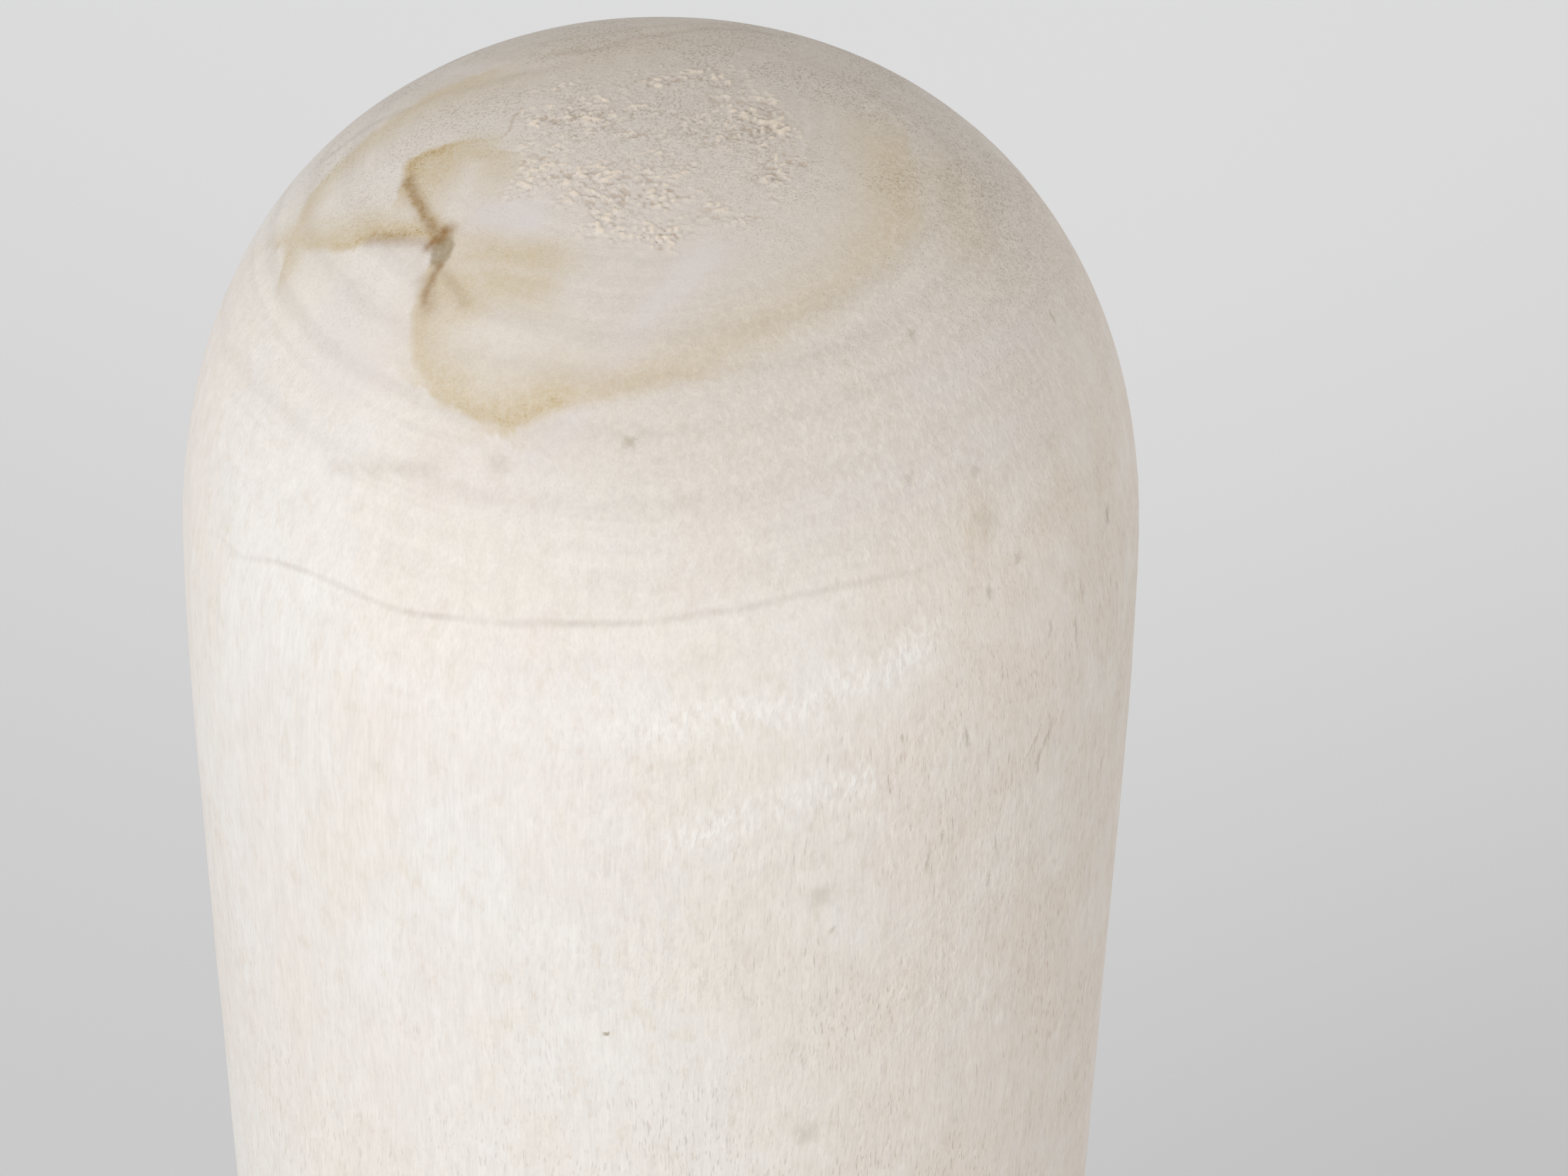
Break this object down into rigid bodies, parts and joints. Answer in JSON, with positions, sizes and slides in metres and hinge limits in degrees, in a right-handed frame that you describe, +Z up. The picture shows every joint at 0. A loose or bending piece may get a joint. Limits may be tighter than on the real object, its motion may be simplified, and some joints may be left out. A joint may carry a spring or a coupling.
{
  "type": "kokeshi doll",
  "caption": "Turned, unpainted, limewashed wooden doll: a tall domed head that turns on a neck peg in a waisted body with a felt foot.",
  "frame": {"origin": "centre of the felt foot's underside, on the surface the doll stands on", "axes": "+Z up along the turning axis, from the foot to the crown; -Y is the side with the knot"},
  "size_m": [0.12, 0.12, 0.4542],
  "materials": {
    "limewashed_wood": "bleached and limewashed, dry matt, open grain with raised fibres",
    "peg_wood": "bare turned hardwood, waxed by turning",
    "felt": "pressed wool felt, matt"
  },
  "bodies": {
    "lower_part": {"body": "limewashed_wood", "felt_foot": "felt"},
    "turning_head": {"head": "limewashed_wood", "neck_peg": "peg_wood"}
  },
  "joints": [
    {"name": "head_turn", "type": "hinge", "parent": "lower_part", "child": "turning_head", "pos_m": [0, 0, 0.2652], "axis": [0, 0, 1], "continuous": true}
  ]
}
